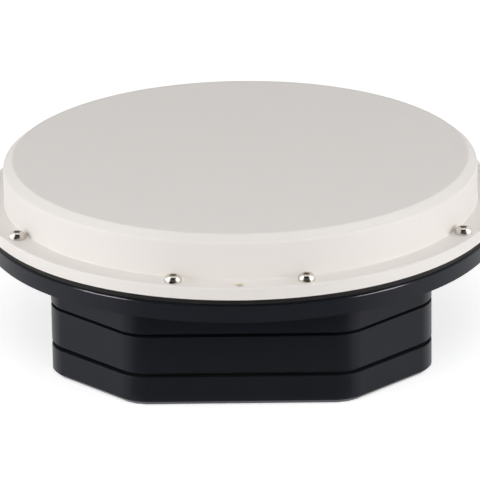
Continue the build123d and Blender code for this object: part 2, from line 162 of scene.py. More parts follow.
# %% [markdown]
# Most pieces are turned on a lathe: the radome, the gasket, the disc, the screws and the sockets.
# A spun outline would do, but a circle that is pulled up step by step is easier to follow: each
# pair of radius and height is one extrusion and one resize. A solid piece starts from a filled
# circle. A ring starts from an open one, and its last edge is bridged back to its first. The
# number of sides grows with the piece, so that every outline looks round.

# %% Turned pieces
wide_sides, socket_sides, small_sides, bolt_sides, stud_sides, pin_sides = 256, 96, 72, 64, 48, 24


def turned(name, outline, sides, ring=False):
    """Pull a circle through (radius, height) pairs in millimetres."""
    radius, height = outline[0]
    take()
    bpy.ops.mesh.primitive_circle_add(
        vertices=sides, radius=radius * MM, location=(0, 0, height * MM),
        fill_type="NOTHING" if ring else "NGON")
    piece = settle(name)
    edit(piece)
    bpy.ops.mesh.select_all(action="SELECT")
    for next_radius, next_height in outline[1:]:
        pull_up(next_height - height)
        ratio = next_radius / radius
        bpy.ops.transform.resize(value=(ratio, ratio, 1), center_override=(0, 0, next_height * MM))
        radius, height = next_radius, next_height
    if ring:
        pick("EDGE", on_rings((outline[0], outline[-1])))
        bpy.ops.mesh.bridge_edge_loops()
    close_up()
    return piece


def soften_rings(piece, rings, width, segments=3):
    """Round the edges that lie on the given (radius, height) rings, in millimetres."""
    edit(piece)
    pick("EDGE", on_rings(rings))
    bevel(width, segments)
    bpy.ops.object.mode_set(mode="OBJECT")


# %% [markdown]
# Holes and bosses come last, with a boolean: a tool body is subtracted or added, and thrown away.

# %% Drilling
tool_sides = 48


def work(piece, tools, operation="DIFFERENCE"):
    """Subtract each tool from the piece, or weld it on with UNION, and remove the tool."""
    for tool in tools:
        take(piece)
        boolean = piece.modifiers.new("work", "BOOLEAN")
        boolean.operation = operation
        boolean.solver = "EXACT"
        boolean.object = tool
        bpy.ops.object.modifier_apply(modifier=boolean.name)
        bpy.data.objects.remove(tool)


def bars(places, low, high, radius):
    """Upright round tools at the given places, between two levels, in millimetres."""
    made = []
    for x, y in places:
        take()
        bpy.ops.mesh.primitive_cylinder_add(
            vertices=tool_sides, radius=radius * MM, depth=(high - low) * MM,
            location=(x * MM, y * MM, (low + high) / 2 * MM))
        made.append(bpy.context.object)
    return made


# %% [markdown]
# ## Finishes
# A finish is a small tree of nodes. One function adds a node, sets its values and links it: its
# inputs take a value or another node's output, and its outputs name the sockets that they feed.
# A Mix node numbers its sockets: for colours, 6 and 7 go in and 2 comes out. Colours are written
# as hex values, as on a paint chart, and turned to Blender's linear light.

# %% Colours and nodes
def paint(hex_colour):
    """Linear colour of an sRGB hex value."""
    channels = [int(hex_colour[k:k + 2], 16) / 255 for k in (1, 3, 5)]
    linear = [c / 12.92 if c <= 0.04045 else ((c + 0.055) / 1.055) ** 2.4 for c in channels]
    return (*linear, 1)


def add_node(owner, kind, inputs=None, outputs=None, **settings):
    """Add a node with its settings to a material or a world, and set or link its sockets."""
    links = owner.node_tree.links
    node = owner.node_tree.nodes.new(kind)
    for name, value in settings.items():
        setattr(node, name, value)
    for name, value in (inputs or {}).items():
        if isinstance(value, bpy.types.NodeSocket):
            links.new(value, node.inputs[name])
        else:
            node.inputs[name].default_value = value
    for name, socket in (outputs or {}).items():
        links.new(node.outputs[name], socket)
    return node


# %% [markdown]
# Every finish starts from one principled shader with typical values for its material. It reads the
# object's own coordinates, so its patterns stay in place on the piece. The scale of a noise is one
# over the width of its lumps. A noise seldom leaves the range from 0.3 to 0.7, so that range is
# spread over the low and the high value of the roughness.

# %% A new finish
def plain_finish(name, values):
    """A material with one principled shader, whose sockets take the given values."""
    material = bpy.data.materials.new(name)
    material.use_nodes = True
    shader = material.node_tree.nodes["Principled BSDF"].inputs
    for socket, value in values.items():
        shader[socket].default_value = value
    return material, shader


def new_finish(name, values):
    """The same, with the object's own coordinates for its patterns."""
    material, shader = plain_finish(name, values)
    return material, shader, add_node(material, "ShaderNodeTexCoord").outputs["Object"]


noise_range = {"From Min": 0.3, "From Max": 0.7}
finishes = {}


def keep_finish(slot, material):
    """Store the finish of a material slot of the record."""
    finishes[slot] = material
    print(f"{slot}: {material.name}, {len(material.node_tree.nodes)} nodes")


# %% [markdown]
# ** Radome plastic.** Radio waves must pass, so the cover is a thick white plastic without metal or
# filler, milled from a moulded blank. It is matt: a fine eggshell grain scatters the light, so the
# flats look even and the edges stay soft. The grain is drawn 1.2 mm wide, coarser than the real
# one, because a finer one would be lost. Round the index hole the colour turns a little browner:
# that is painted shade, which stands in for the dim light inside the hole. Its distance from the
# hole's axis fades the one colour into the other.

# %% Radome plastic
# The last two numbers are the distances from the index hole's axis between which its painted shade
# fades in.
screw_inset, hole_shade_inner, hole_shade_outer = 8.5, 3.6, 4.4
material, shader, place = new_finish("white_milled_plastic", {
    "Roughness": 0.55, "Specular IOR Level": 0.3})
patches = add_node(material, "ShaderNodeTexNoise", {
    "Vector": place, "Scale": 1 / (60 * MM), "Detail": 3})
plastic_tone = add_node(material, "ShaderNodeMix", {
    0: patches.outputs["Fac"], 6: paint("#ece7e3"), 7: paint("#eee9e5")}, data_type="RGBA")
hole_distance = (half_width("radome") - screw_inset) * MM
from_hole = add_node(material, "ShaderNodeMapping", {
    "Vector": place, "Location": (0, hole_distance, 0), "Scale": (1, 1, 0)}).outputs["Vector"]
distance = add_node(material, "ShaderNodeVectorMath", {0: from_hole}, operation="LENGTH")
# Painted shade round the index hole: the colour turns browner towards its axis.
painted_hole_shade = add_node(material, "ShaderNodeMapRange", {
    "Value": distance.outputs["Value"],
    "From Min": hole_shade_outer * MM, "From Max": hole_shade_inner * MM})
add_node(material, "ShaderNodeMix", {
    0: painted_hole_shade.outputs["Result"], 6: plastic_tone.outputs[2], 7: paint("#e6e0d2")},
    {2: shader["Base Color"]}, data_type="RGBA")
eggshell = add_node(material, "ShaderNodeTexNoise", {
    "Vector": place, "Scale": 1 / (1.2 * MM), "Detail": 3, "Roughness": 0.6})
add_node(material, "ShaderNodeMapRange", {
    "Value": eggshell.outputs["Fac"], **noise_range, "To Min": 0.5, "To Max": 0.6},
    {"Result": shader["Roughness"]})
add_node(material, "ShaderNodeBump", {
    "Height": eggshell.outputs["Fac"], "Distance": 0.02 * MM, "Strength": 0.35},
    {"Normal": shader["Normal"]})
keep_finish("radome_plastic", material)

# %% [markdown]
# **Black anodised aluminium.** The disc and the housing are milled, blasted and dyed black. The
# oxide is a thin glassy skin: nearly black seen square on, and a soft grey sheen at a flat angle.
# That is a dielectric over a very dark ground, not a bare metal. The blasting leaves a grain of a
# few tenths of a millimetre, drawn at 0.9 mm so that it shows.

# %% Black anodised aluminium, the blasted faces
material, shader, place = new_finish("black_anodised_aluminium", {
    "Roughness": 0.3, "Specular IOR Level": 0.12, "Specular Tint": (1.0, 0.9, 1.0, 1)})
patches = add_node(material, "ShaderNodeTexNoise", {
    "Vector": place, "Scale": 1 / (35 * MM), "Detail": 3})
dyed = add_node(material, "ShaderNodeMix", {
    0: patches.outputs["Fac"], 6: paint("#1e2126"), 7: paint("#22252a")}, data_type="RGBA")
grain = add_node(material, "ShaderNodeTexNoise", {
    "Vector": place, "Scale": 1 / (0.9 * MM), "Detail": 2, "Roughness": 0.6})
blasted = add_node(material, "ShaderNodeMapRange", {
    "Value": grain.outputs["Fac"], **noise_range, "To Min": 0.27, "To Max": 0.35})
add_node(material, "ShaderNodeBump", {
    "Height": grain.outputs["Fac"], "Distance": 0.012 * MM, "Strength": 0.2},
    {"Normal": shader["Normal"]})
keep_finish("black_anodised", material)

# %% [markdown]
# The 45-degree chamfers are cut last, with a sharp tool, so they are smoother than the rest and
# throw back a thin bright line. The bevel of the foot is painted a lighter grey: a painted
# highlight that stands in for the bright table it reflects. Both are found by the direction in
# which the
# surface looks: its normal leans 45 degrees up or down, so its upward part is the root of a half,
# and for the foot minus that root. A Compare node gives 1 where two values agree within its third
# one.

# %% Black anodised aluminium, the milled chamfers and the painted highlight on the foot
lean, lean_tolerance = sqrt(0.5), 0.12
normal = add_node(material, "ShaderNodeTexCoord").outputs["Normal"]
upward = add_node(material, "ShaderNodeSeparateXYZ", {0: normal}).outputs["Z"]
foot_painted_highlight = add_node(material, "ShaderNodeMath", {
    0: upward, 1: -lean, 2: lean_tolerance}, operation="COMPARE")
# Painted highlight: the downward bevel of the foot is lighter, for the table it reflects.
add_node(material, "ShaderNodeMix", {
    0: foot_painted_highlight.outputs[0], 6: dyed.outputs[2], 7: paint("#55555e")},
    {2: shader["Base Color"]}, data_type="RGBA")
slant = add_node(material, "ShaderNodeMath", {0: upward}, operation="ABSOLUTE")
chamfer = add_node(material, "ShaderNodeMath", {
    0: slant.outputs[0], 1: lean, 2: lean_tolerance}, operation="COMPARE")
add_node(material, "ShaderNodeMix", {
    0: chamfer.outputs[0], 2: blasted.outputs["Result"], 3: 0.14}, {0: shader["Roughness"]})
print("black anodised with chamfers:", len(material.node_tree.nodes), "nodes")

# %% [markdown]
# **Seal rubber.** The gasket and the cords in the grooves are soft black rubber, moulded and a
# little dusty, with a slightly brown tone and almost no shine. The dust is drawn 0.8 mm wide.

# %% Seal rubber
material, shader, place = new_finish("black_seal_rubber", {
    "Roughness": 0.8, "Specular IOR Level": 0.25})
patches = add_node(material, "ShaderNodeTexNoise", {
    "Vector": place, "Scale": 1 / (9 * MM), "Detail": 4})
add_node(material, "ShaderNodeMix", {
    0: patches.outputs["Fac"], 6: paint("#1c1b19"), 7: paint("#262522")},
    {2: shader["Base Color"]}, data_type="RGBA")
dust = add_node(material, "ShaderNodeTexNoise", {
    "Vector": place, "Scale": 1 / (0.8 * MM), "Detail": 3, "Roughness": 0.7})
add_node(material, "ShaderNodeMapRange", {
    "Value": dust.outputs["Fac"], **noise_range, "To Min": 0.72, "To Max": 0.88},
    {"Result": shader["Roughness"]})
add_node(material, "ShaderNodeBump", {
    "Height": dust.outputs["Fac"], "Distance": 0.05 * MM, "Strength": 0.4},
    {"Normal": shader["Normal"]})
keep_finish("seal_rubber", material)

# %% [markdown]
# **Stainless steel.** The screws are cold-formed and tumbled bright. Faint scratches run every way,
# a quarter of a millimetre apart, so the reflections are sharp but not perfect.

# %% Stainless steel
material, shader, place = new_finish("tumbled_stainless_steel", {
    "Metallic": 1.0, "Roughness": 0.16})
patches = add_node(material, "ShaderNodeTexNoise", {
    "Vector": place, "Scale": 1 / (4 * MM), "Detail": 3})
add_node(material, "ShaderNodeMix", {
    0: patches.outputs["Fac"], 6: paint("#cfcac2"), 7: paint("#dad6cf")},
    {2: shader["Base Color"]}, data_type="RGBA")
scratches = add_node(material, "ShaderNodeTexNoise", {
    "Vector": place, "Scale": 1 / (0.25 * MM), "Detail": 3, "Roughness": 0.7})
add_node(material, "ShaderNodeMapRange", {
    "Value": scratches.outputs["Fac"], **noise_range, "To Min": 0.12, "To Max": 0.22},
    {"Result": shader["Roughness"]})
add_node(material, "ShaderNodeBump", {
    "Height": scratches.outputs["Fac"], "Distance": 0.004 * MM, "Strength": 0.25},
    {"Normal": shader["Normal"]})
keep_finish("stainless", material)

# %% [markdown]
# **Nickel-plated brass.** The sockets are turned brass under dull nickel: warmer and softer than
# steel. The plating smooths the turning marks to an even grain, 0.3 mm wide.

# %% Nickel-plated brass
material, shader, place = new_finish("nickel_plated_brass", {"Metallic": 1.0, "Roughness": 0.28})
patches = add_node(material, "ShaderNodeTexNoise", {
    "Vector": place, "Scale": 1 / (5 * MM), "Detail": 3})
add_node(material, "ShaderNodeMix", {
    0: patches.outputs["Fac"], 6: paint("#b9b3a4"), 7: paint("#c9c4b6")},
    {2: shader["Base Color"]}, data_type="RGBA")
plating = add_node(material, "ShaderNodeTexNoise", {
    "Vector": place, "Scale": 1 / (0.3 * MM), "Detail": 2, "Roughness": 0.6})
add_node(material, "ShaderNodeMapRange", {
    "Value": plating.outputs["Fac"], **noise_range, "To Min": 0.24, "To Max": 0.36},
    {"Result": shader["Roughness"]})
add_node(material, "ShaderNodeBump", {
    "Height": plating.outputs["Fac"], "Distance": 0.006 * MM, "Strength": 0.3},
    {"Normal": shader["Normal"]})
keep_finish("nickel_brass", material)

# %% [markdown]
# **Bare aluminium.** The carrier, the screening tray and the heat sink are bent or sawn sheet and
# section. They keep the streaks of the rolling mill: a noise 25 mm long, and 40 times finer across
# because a Mapping node stretches its coordinates.

# %% Bare aluminium
material, shader, place = new_finish("rolled_aluminium", {"Metallic": 1.0, "Roughness": 0.35})
along = add_node(material, "ShaderNodeMapping", {"Vector": place, "Scale": (1, 40, 40)})
streaks = add_node(material, "ShaderNodeTexNoise", {
    "Vector": along.outputs["Vector"], "Scale": 1 / (25 * MM), "Detail": 3, "Roughness": 0.6})
add_node(material, "ShaderNodeMix", {
    0: streaks.outputs["Fac"], 6: paint("#a9abae"), 7: paint("#bfc1c4")},
    {2: shader["Base Color"]}, data_type="RGBA")
add_node(material, "ShaderNodeMapRange", {
    "Value": streaks.outputs["Fac"], **noise_range, "To Min": 0.3, "To Max": 0.45},
    {"Result": shader["Roughness"]})
add_node(material, "ShaderNodeBump", {
    "Height": streaks.outputs["Fac"], "Distance": 0.01 * MM, "Strength": 0.2},
    {"Normal": shader["Normal"]})
keep_finish("bare_aluminium", material)

# %% [markdown]
# **Circuit laminate.** Green solder mask is printed over glass cloth. Copper tracks show through it
# as slightly lighter lanes, which a grid of bricks stands for: 9 mm long, 2.5 mm apart, with tracks
# of 0.3 mm between them. The glass cloth under the mask changes its gloss every 0.6 mm.

# %% Circuit laminate
material, shader, place = new_finish("green_solder_mask", {"Roughness": 0.32})
tracks = add_node(material, "ShaderNodeTexBrick", {
    "Vector": place, "Scale": 1.0, "Brick Width": 9 * MM, "Row Height": 2.5 * MM,
    "Mortar Size": 0.3 * MM, "Color1": (0, 0, 0, 1), "Color2": (0.25, 0.25, 0.25, 1),
    "Mortar": (1, 1, 1, 1)}).outputs["Color"]
add_node(material, "ShaderNodeMix", {0: tracks, 6: paint("#0f4a2a"), 7: paint("#1c6b40")},
         {2: shader["Base Color"]}, data_type="RGBA")
weave = add_node(material, "ShaderNodeTexNoise", {"Vector": place, "Scale": 1 / (0.6 * MM)})
add_node(material, "ShaderNodeMapRange", {
    "Value": weave.outputs["Fac"], **noise_range, "To Min": 0.28, "To Max": 0.4},
    {"Result": shader["Roughness"]})
add_node(material, "ShaderNodeBump", {"Height": tracks, "Distance": 0.03 * MM, "Strength": 0.4},
         {"Normal": shader["Normal"]})
keep_finish("circuit_laminate", material)

# %% [markdown]
# **Copper.** The patches that send and listen are bare rolled copper. It has begun to tarnish
# unevenly: spots of 3 mm are paler and duller than the metal between them.

# %% Copper
material, shader, place = new_finish("tarnished_copper", {"Metallic": 1.0, "Roughness": 0.3})
tarnish = add_node(material, "ShaderNodeTexNoise", {
    "Vector": place, "Scale": 1 / (3 * MM), "Detail": 4, "Roughness": 0.6})
add_node(material, "ShaderNodeMix", {
    0: tarnish.outputs["Fac"], 6: paint("#b87350"), 7: paint("#d08a63")},
    {2: shader["Base Color"]}, data_type="RGBA")
add_node(material, "ShaderNodeMapRange", {
    "Value": tarnish.outputs["Fac"], **noise_range, "To Min": 0.25, "To Max": 0.42},
    {"Result": shader["Roughness"]})
keep_finish("copper", material)

# %% [markdown]
# **Gold plate.** The pins and contacts are electroplated with a thin coat of gold, bright and warm,
# with faint wear 0.8 mm wide where plugs have rubbed.

# %% Gold plate
material, shader, place = new_finish("gold_plate", {"Metallic": 1.0, "Roughness": 0.2})
wear = add_node(material, "ShaderNodeTexNoise", {
    "Vector": place, "Scale": 1 / (0.8 * MM), "Detail": 3, "Roughness": 0.6})
add_node(material, "ShaderNodeMix", {
    0: wear.outputs["Fac"], 6: paint("#d9a945"), 7: paint("#e8bf62")},
    {2: shader["Base Color"]}, data_type="RGBA")
add_node(material, "ShaderNodeMapRange", {
    "Value": wear.outputs["Fac"], **noise_range, "To Min": 0.16, "To Max": 0.28},
    {"Result": shader["Roughness"]})
keep_finish("gold_contact", material)

# %% [markdown]
# **Moulded resin.** Chips, modules, headers and the inserts of the sockets are black moulded resin.
# The mould is spark-eroded, so the skin has a fine dull texture, drawn 0.5 mm wide.

# %% Moulded resin
material, shader, place = new_finish("black_moulded_resin", {"Roughness": 0.6})
patches = add_node(material, "ShaderNodeTexNoise", {
    "Vector": place, "Scale": 1 / (6 * MM), "Detail": 3})
add_node(material, "ShaderNodeMix", {
    0: patches.outputs["Fac"], 6: paint("#191919"), 7: paint("#232322")},
    {2: shader["Base Color"]}, data_type="RGBA")
texture = add_node(material, "ShaderNodeTexNoise", {
    "Vector": place, "Scale": 1 / (0.5 * MM), "Detail": 3, "Roughness": 0.6})
add_node(material, "ShaderNodeMapRange", {
    "Value": texture.outputs["Fac"], **noise_range, "To Min": 0.5, "To Max": 0.72},
    {"Result": shader["Roughness"]})
add_node(material, "ShaderNodeBump", {
    "Height": texture.outputs["Fac"], "Distance": 0.03 * MM, "Strength": 0.4},
    {"Normal": shader["Normal"]})
keep_finish("chip_resin", material)

# %% [markdown]
# ** Cable jacket.** The boards are joined by flat ribbon cable, whose extruded jacket has one rib
# per wire, 1.27 mm apart. A Wave node draws twenty radians per unit of its scale, so the scale
# that gives one wave per rib is two pi over twenty ribs. The same wave darkens the troughs between
# the ribs: painted shade in the creases, as well as their relief.

# %% Cable jacket
material, shader, place = new_finish("black_cable_jacket", {"Roughness": 0.5})
rib_pitch = 1.27
rib_relief_and_shade = add_node(material, "ShaderNodeTexWave", {
    "Vector": place, "Scale": 2 * pi / (20 * rib_pitch * MM), "Distortion": 0.0},
    bands_direction="X").outputs["Fac"]
# Painted shade: the troughs between the ribs get the darker colour.
add_node(material, "ShaderNodeMix", {0: rib_relief_and_shade, 6: paint("#15161a"), 7: paint("#2a2c31")},
         {2: shader["Base Color"]}, data_type="RGBA")
skin = add_node(material, "ShaderNodeTexNoise", {"Vector": place, "Scale": 1 / (1.0 * MM)})
add_node(material, "ShaderNodeMapRange", {
    "Value": skin.outputs["Fac"], **noise_range, "To Min": 0.42, "To Max": 0.6},
    {"Result": shader["Roughness"]})
add_node(material, "ShaderNodeBump", {"Height": rib_relief_and_shade, "Distance": 0.2 * MM, "Strength": 0.5},
         {"Normal": shader["Normal"]})
keep_finish("cable_jacket", material)

# %% [markdown]
# Every measured piece gets the finish of its slot. Those that are rebuilt below are hidden then.

# %% Dress the measured pieces
for part in frame["record"]["subparts"]:
    node = frame["nodes"][part["node"]]
    node.data.materials.clear()
    node.data.materials.append(finishes[part["material_slot"]])

# %% [markdown]
# A new piece needs a last touch. Its soft edges are shaded smooth and its sharp ones kept, and a
# weighted normal modifier keeps the large flat faces flat right up to their soft edges. Then it
# gets its finish and rides on the part's body, and the measured pieces it stands for are hidden.

# %% The last touch
def finish_piece(piece, slot, *nodes, angle=32):
    """Smooth the shading, put the piece on the part's body and hide the measured pieces it stands
    for.
    """
    take(piece)
    bpy.ops.object.shade_smooth_by_angle(angle=radians(angle))
    weighted = piece.modifiers.new("weighted", "WEIGHTED_NORMAL")
    weighted.keep_sharp = True
    weighted.weight = 60
    bpy.ops.object.modifier_apply(modifier=weighted.name)
    piece.data.materials.clear()
    piece.data.materials.append(finishes[slot])
    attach(piece, "root")
    if nodes:
        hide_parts(*nodes)
    print(f"{piece.name}: {len(piece.data.polygons)} faces")


# %% [markdown]
# ## Radome
# The cover is turned: a flat flange, an upright wall, a broad bevel and a flat top. It could be one
# spun outline. Here it is pulled up from the ceiling of its hollow: down the inner wall, out under
# the flange, and up over the outside. All outer corners get a radius of 0.8 mm, because milled
# plastic is broken with a small cutter, and that radius is what catches the light.

# %% Radome
radome_z, top_z = levels("radome")
radome_r = half_width("radome")
flange_w, flange_t = 16.0, 8.6
bevel_w, bevel_h = 6.4, 5.0
dome_wall, dome_top_t, milled_r = 6.5, 5.0, 0.8
dome_r = radome_r - flange_w
cavity_r = dome_r - dome_wall
flange_top = radome_z + flange_t

radome = turned("radome_cover", [
    (cavity_r, top_z - dome_top_t), (cavity_r, radome_z), (radome_r, radome_z),
    (radome_r, flange_top), (dome_r, flange_top), (dome_r, top_z - bevel_h),
    (dome_r - bevel_w, top_z)], wide_sides)
soften_rings(radome, [(radome_r, flange_top), (dome_r, flange_top), (dome_r, top_z - bevel_h),
                      (dome_r - bevel_w, top_z)], milled_r)

# %% [markdown]
# Eight screws hold the flange. The two in front stand closer together, on each side of a small
# blind hole that marks the front. Its tool is turned like everything else: a bar that widens to a
# cone at the mouth of the hole.

# %% Screw holes and the index hole
def on_circle(radius, angles):
    """Places on a circle round the axis, at the given angles in degrees."""
    return [(radius * cos(radians(a)), radius * sin(radians(a))) for a in angles]


front_pair_angle, screw_count, screw_hole_r = 30.0, 8, 3.3
screw_circle_r = radome_r - screw_inset
screw_step = (360 - front_pair_angle) / (screw_count - 1)
screw_angles = [-90 + front_pair_angle / 2 + k * screw_step for k in range(screw_count)]
screw_places = on_circle(screw_circle_r, screw_angles)

index_r, mouth_r, mouth_h, index_depth = 2.3, 5.0, 1.1, 5.0
index_tool = turned("index_tool", [
    (index_r, flange_top - index_depth), (index_r, flange_top - mouth_h), (mouth_r, flange_top),
    (mouth_r, flange_top + 1)], small_sides)
index_tool.location.y = -screw_circle_r * MM
work(radome, bars(screw_places, radome_z - 1, flange_top + 1, screw_hole_r) + [index_tool])
finish_piece(radome, "radome_plastic", "radome")

# %% [markdown]
# ## Gasket
# A flat rubber ring fills the gap between the flange and the disc. It is squeezed, so its outer
# edge bulges a little: two soft corners with a narrow band between them.

# %% Gasket
gasket_low, gasket_high = levels("radome_gasket")
gasket_r, bulge_r = half_width("radome_gasket"), 0.4
gasket = turned("gasket_ring", [
    (cavity_r, gasket_low), (gasket_r, gasket_low), (gasket_r, gasket_high),
    (cavity_r, gasket_high)], wide_sides, ring=True)
soften_rings(gasket, [(gasket_r, gasket_low), (gasket_r, gasket_high)], bulge_r)
work(gasket, bars(screw_places, gasket_low - 1, gasket_high + 1, screw_hole_r))
finish_piece(gasket, "seal_rubber", "radome_gasket")

# %% [markdown]
# ## Base disc
# The disc is turned from plate. Its rim stands out over the housing, and a raised land carries the
# gasket, which leaves a thin shadow gap. A pocket in the middle holds the antenna boards. The rim's
# upper edge gets a flat chamfer of 1 mm, one bright line, and its lower edge is only broken.

# %% Base disc
disc_z, disc_r = levels("base_disc")[0], half_width("base_disc")
rim_h, land_step, pocket_floor_t = 12.0, 1.5, 11.0
rim_chamfer, rim_break = 1.0, 0.3
tapped_r, tapped_depth = 3.05, 10.3
land_r, pocket_r = disc_r - land_step, cavity_r - 3.0
disc = turned("base_disc_plate", [
    (pocket_r, disc_z + pocket_floor_t), (pocket_r, gasket_low), (land_r, gasket_low),
    (land_r, disc_z + rim_h), (disc_r, disc_z + rim_h), (disc_r, disc_z)], wide_sides)
soften_rings(disc, [(disc_r, disc_z + rim_h)], rim_chamfer, 1)
soften_rings(disc, [(disc_r, disc_z)], rim_break, 2)
work(disc, bars(screw_places, gasket_low - tapped_depth, gasket_low + 1, tapped_r))
finish_piece(disc, "black_anodised", "base_disc")

# %% [markdown]
# ## Radome screws
# Pan-head screws of stainless steel. The head is turned: a short upright rim, then a quarter of an
# ellipse up to a small flat. The six-lobe drive is a tool body of its own: a circle whose corners
# are drawn in and out in turn, six times round, pulled up and subtracted.

# %% One screw
head_r, head_h, head_rim, head_top_r, head_break = 6.0, 4.6, 1.0, 3.3, 0.15
shank_r, shank_tip_r, screw_l = 3.0, 2.2, 22.0
crown = [radians(90 * k / 8) for k in range(9)]
pattern = turned("screw_pattern", [
    (shank_tip_r, -screw_l), (shank_r, 1 - screw_l), (shank_r, 0), (head_r - head_break, 0),
    (head_r, head_break)]
    + [(head_top_r + (head_r - head_top_r) * cos(t), head_rim + (head_h - head_rim) * sin(t))
       for t in crown], small_sides)

# %% [markdown]
# The lobes stand 60 degrees apart. Every five degrees the circle's vertices are drawn in by a share
# of a cosine: not at all on a lobe, and most halfway between two.

# %% Six-lobe drive
lobe_r, valley_r, drive_depth = 2.8, 2.05, 2.4


def from_lobe(vertex):
    """Angle between a vertex and the nearest lobe, in degrees."""
    return abs((degrees(atan2(vertex.co.y, vertex.co.x)) + 30) % 60 - 30)


def six_lobe_bit():
    """Driver bit that reaches below the top of the head."""
    floor_z = (head_h - drive_depth) * MM
    middle_r, swing = (lobe_r + valley_r) / 2, (lobe_r - valley_r) / 2
    take()
    bpy.ops.mesh.primitive_circle_add(vertices=small_sides, radius=lobe_r * MM, fill_type="NGON",
                                      location=(0, 0, floor_z))
    bit = settle("six_lobe_bit")
    edit(bit)
    for turn in range(5, 31, 5):
        pick("VERT", lambda vertex: near(from_lobe(vertex), turn, 1))
        share = (middle_r + swing * cos(radians(6 * turn))) / lobe_r
        bpy.ops.transform.resize(value=(share, share, 1), center_override=(0, 0, floor_z))
    bpy.ops.mesh.select_all(action="SELECT")
    pull_up(drive_depth + 1)
    close_up()
    return bit


work(pattern, [six_lobe_bit()])
print(f"one screw: {len(pattern.data.polygons)} faces")

# %% [markdown]
# The screw is modelled once and set down eight times, each a little turned, as hands leave them.

# %% Eight screws
def set_down(pattern, name, location, turn=(0, 0, 0)):
    """Copy a piece with its own mesh, turn the copy and move it to its place, in millimetres."""
    take(pattern)
    bpy.ops.object.duplicate(linked=False)
    copy = bpy.context.object
    copy.name = name
    copy.rotation_euler = [radians(angle) for angle in turn]
    copy.location = [c * MM for c in location]
    bpy.ops.object.transform_apply(location=True, rotation=True, scale=False)
    return copy


for k, ((x, y), angle) in enumerate(zip(screw_places, screw_angles)):
    screw = set_down(pattern, f"radome_screw_{k + 1}", (x, y, flange_top), (0, 0, angle + 37 * k))
    finish_piece(screw, "stainless", "radome_screws", angle=40)
bpy.data.objects.remove(pattern)

# %% [markdown]
# ## Housing layers
# Seen from above, the housing is a square with its corners cut off and rounded. A cube is the
# start: bevelling its four upright edges once, with one segment, cuts the corners, and bevelling
# the eight new upright edges rounds them. A seal is the same shape, drawn in by an even inset.

# %% Octagonal blocks
across_flats = 2 * half_width("upper_frame")
corner_cut, corner_r, least_corner_r, corner_segments = 58.0, 26.0, 3.0, 14


def upright(edge):
    """True for an edge that runs straight up."""
    a, b = (v.co for v in edge.verts)
    return near(a.x, b.x) and near(a.y, b.y) and not near(a.z, b.z)


def octagon_block(name, low, high, inset=0.0):
    """Solid octagonal layer between two levels, in millimetres."""
    across = across_flats - 2 * inset
    take()
    bpy.ops.mesh.primitive_cube_add(size=1, location=(0, 0, (low + high) / 2 * MM),
                                    scale=(across * MM, across * MM, (high - low) * MM))
    piece = settle(name)
    edit(piece)
    pick("EDGE", upright)
    bevel(corner_cut - (2 - sqrt(2)) * inset, 1)
    pick("EDGE", upright)
    bevel(max(corner_r - inset, least_corner_r) * sin(pi / 8) / cos(pi / 8), corner_segments)
    bpy.ops.object.mode_set(mode="OBJECT")
    return piece


# %% [markdown]
# A layer is hollowed in one of two ways. A tray gets a pocket: its flat face is inset by the wall
# and pushed in. A ring is open right through: both its flat faces are inset, and the two inner
# faces are bridged.

# %% Hollow layers
wall = 10.0


def inner_face(height, direction):
    """Test for the flat face round the axis, at a height, that looks up (1) or down (-1)."""
    return lambda face: (near(face.calc_center_median().z, height * MM)
                         and near(face.normal.z, direction, 0.01)
                         and face.calc_center_median().xy.length < MM)


def hollow(piece, height, direction, depth):
    """Sink a pocket into the top (1) or the bottom (-1), inside a wall of even width."""
    edit(piece)
    pick("FACE", inner_face(height, direction))
    bpy.ops.mesh.inset(thickness=wall * MM)
    pull_up(-direction * depth)
    bpy.ops.object.mode_set(mode="OBJECT")


def open_through(piece, low, high, width):
    """Leave only a wall of even width round an opening."""
    edit(piece)
    for height, direction in ((low, -1), (high, 1)):
        pick("FACE", inner_face(height, direction))
        bpy.ops.mesh.inset(thickness=width * MM)
    pick("FACE", lambda face: inner_face(low, -1)(face) or inner_face(high, 1)(face))
    bpy.ops.mesh.bridge_edge_loops()
    bpy.ops.object.mode_set(mode="OBJECT")


# %% [markdown]
# The outer edges of each layer are broken by 0.7 mm. An edge counts as outer where both its ends
# lie on the outer wall: further out than the middle of the wall, along X, along Y or across a cut
# corner.

# %% Outer edges
edge_break = 0.7


def outside(vertex, inset=0.0):
    """True for a vertex of the outer wall, also at the cut corners."""
    x, y = abs(vertex.co.x), abs(vertex.co.y)
    slack = wall / 2 * MM
    return (max(x, y) > (across_flats / 2 - inset) * MM - slack
            or (x + y) / sqrt(2) > ((across_flats - corner_cut) / sqrt(2) - inset) * MM - slack)


def soften_level(piece, height, width, segments=2, inset=0.0):
    """Bevel the outer edge at a height."""
    edit(piece)
    pick("EDGE", lambda edge: all(near(v.co.z, height * MM) and outside(v, inset)
                                  for v in edge.verts))
    bevel(width, segments)
    bpy.ops.object.mode_set(mode="OBJECT")


# %% [markdown]
# Behind each cut corner a boss carries a long bolt that clamps the three layers. The sockets, the
# earth stud and the vent plug go through the rear wall, so their holes are drilled from behind.

# %% Bolt places and rear openings
bolt_inset, boss_r, bolt_hole_r = 14.0, 10.0, 4.3
bolt_places = on_circle((across_flats - corner_cut) / sqrt(2) - bolt_inset, (45, 135, 225, 315))
rear_y = across_flats / 2


def rear_bar(x, z, radius, depth):
    """Round tool that lies along Y and reaches depth into the rear wall."""
    take()
    bpy.ops.mesh.primitive_cylinder_add(
        vertices=tool_sides, radius=radius * MM, depth=(depth + 1) * MM,
        rotation=(radians(90), 0, 0), location=(x * MM, (rear_y + (1 - depth) / 2) * MM, z * MM))
    return bpy.context.object


# %% [markdown]
# The upper frame is an open ring. Its four bosses are welded on and drilled, and two round holes in
# the rear take the sockets.

